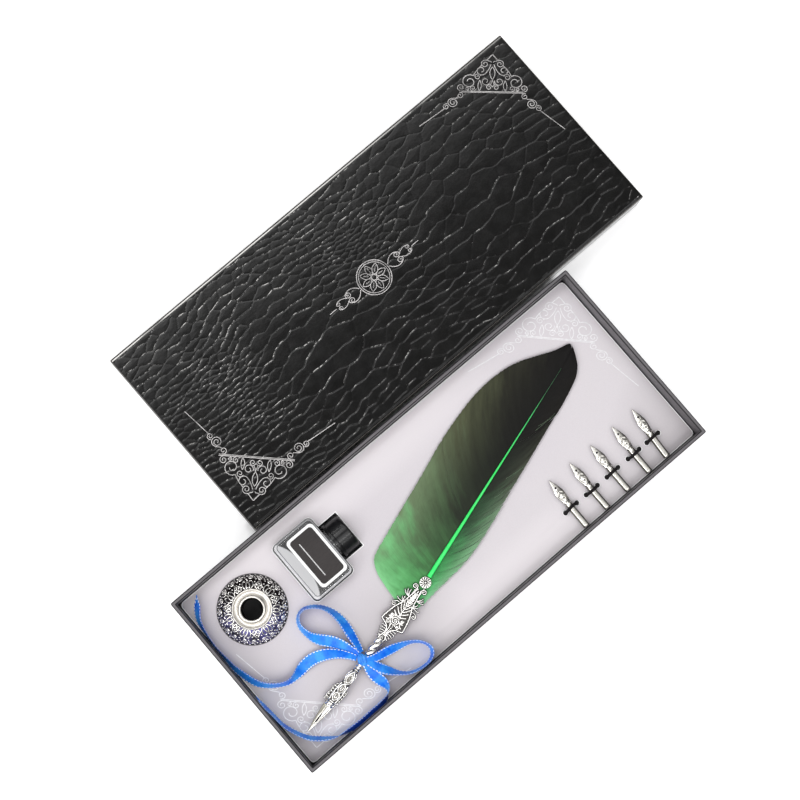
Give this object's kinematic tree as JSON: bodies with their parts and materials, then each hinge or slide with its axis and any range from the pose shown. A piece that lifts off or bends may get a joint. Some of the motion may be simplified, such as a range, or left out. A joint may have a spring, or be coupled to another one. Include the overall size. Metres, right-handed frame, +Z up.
{
  "type": "dip pen gift box",
  "caption": "Open gift box with a quill dip pen tied with a ribbon, pen pot, ink bottle and spare nibs in a card-topped foam insert, lid lying beside it.",
  "frame": {"origin": "centre of the tray's underside, on the surface it stands on", "axes": "+X along the tray's length, +Y towards the lid that lies beside it, +Z up"},
  "size_m": [0.3327, 0.2346, 0.04],
  "materials": {
    "charcoal_paper": "satin",
    "grey_board": "matte",
    "embossed_black_paper": "gloss",
    "black_liner_paper": "matte",
    "panel_card": "satin",
    "grey_foam": "matte",
    "black_elastic": "matte",
    "antique_silver": "satin",
    "polished_silver": "polished",
    "black_plastic": "matte",
    "black_felt": "matte",
    "clear_glass": "polished",
    "black_ink": "gloss",
    "label_paper": "satin",
    "cap_plastic": "gloss",
    "seal_foam": "matte",
    "nib_steel": "polished",
    "quill_green": "satin",
    "green_feather": "satin",
    "blue_ribbon": "satin"
  },
  "bodies": {
    "base": {"base_bottom_sheet": "charcoal_paper", "base_floor_board": "grey_board", "base_wall_front": "grey_board", "base_wall_back": "grey_board", "base_wall_left": "grey_board", "base_wall_right": "grey_board", "base_cover_paper": "charcoal_paper"},
    "lid": {"lid_top_board": "grey_board", "lid_wall_front": "grey_board", "lid_wall_back": "grey_board", "lid_wall_left": "grey_board", "lid_wall_right": "grey_board", "lid_cover_paper": "embossed_black_paper", "lid_liner_paper": "black_liner_paper"},
    "insert": {"insert_card": "panel_card", "insert_foam": "grey_foam", "nib_loops": "black_elastic"},
    "pot": {"pot_shell": "antique_silver", "pot_mouth_ring": "polished_silver", "pot_sleeve": "black_plastic", "pot_base_pad": "black_felt"},
    "bottle": {"bottle_glass": "clear_glass", "ink_fill": "black_ink", "bottle_label": "label_paper"},
    "cap": {"cap_shell": "cap_plastic", "cap_liner": "seal_foam"},
    "pen": {"pen_nib": "nib_steel", "nib_ferrule": "nib_steel", "nib_collar": "polished_silver", "pen_grip": "antique_silver", "stem_beads": "antique_silver", "twisted_stem": "antique_silver", "filigree_plate": "antique_silver", "flower_rosette": "antique_silver", "rosette_rivet": "polished_silver", "quill_shaft": "quill_green", "feather_vane_left": "green_feather", "feather_vane_right": "green_feather", "ribbon_knot": "blue_ribbon", "ribbon_loop_left": "blue_ribbon", "ribbon_loop_right": "blue_ribbon", "ribbon_tail_left": "blue_ribbon", "ribbon_tail_right": "blue_ribbon"},
    "spare_nib_1": {"spare_nib_1": "nib_steel"},
    "spare_nib_2": {"spare_nib_2": "nib_steel"},
    "spare_nib_3": {"spare_nib_3": "nib_steel"},
    "spare_nib_4": {"spare_nib_4": "nib_steel"},
    "spare_nib_5": {"spare_nib_5": "nib_steel"}
  },
  "joints": [
    {"name": "lid_lift", "type": "slide", "parent": "base", "child": "lid", "axis": [0, 0, 1], "range_m": [0, 0.08]},
    {"name": "insert_lift", "type": "slide", "parent": "base", "child": "insert", "axis": [0, 0, 1], "range_m": [0, 0.06]},
    {"name": "pot_lift", "type": "slide", "parent": "insert", "child": "pot", "axis": [0, 0, 1], "range_m": [0, 0.05]},
    {"name": "bottle_lift", "type": "slide", "parent": "insert", "child": "bottle", "axis": [0, 0, 1], "range_m": [0, 0.05]},
    {"name": "cap_unscrew", "type": "hinge", "parent": "bottle", "child": "cap", "pos_m": [-0.0454, 0.0266, 0.02525], "axis": [1, 0, 0], "range_deg": [0, 540]},
    {"name": "pen_lift", "type": "slide", "parent": "insert", "child": "pen", "axis": [0, 0, 1], "range_m": [0, 0.06]},
    {"name": "nib_1_slide", "type": "slide", "parent": "insert", "child": "spare_nib_1", "axis": [0.0698, 0.9976, 0], "range_m": [0, 0.0145]},
    {"name": "nib_2_slide", "type": "slide", "parent": "insert", "child": "spare_nib_2", "axis": [0.0122, 0.9999, 0], "range_m": [0, 0.0145]},
    {"name": "nib_3_slide", "type": "slide", "parent": "insert", "child": "spare_nib_3", "axis": [0.0035, 1, 0], "range_m": [0, 0.0145]},
    {"name": "nib_4_slide", "type": "slide", "parent": "insert", "child": "spare_nib_4", "axis": [0, 1, 0], "range_m": [0, 0.0145]},
    {"name": "nib_5_slide", "type": "slide", "parent": "insert", "child": "spare_nib_5", "axis": [0.0105, 0.9999, 0], "range_m": [0, 0.0145]}
  ]
}
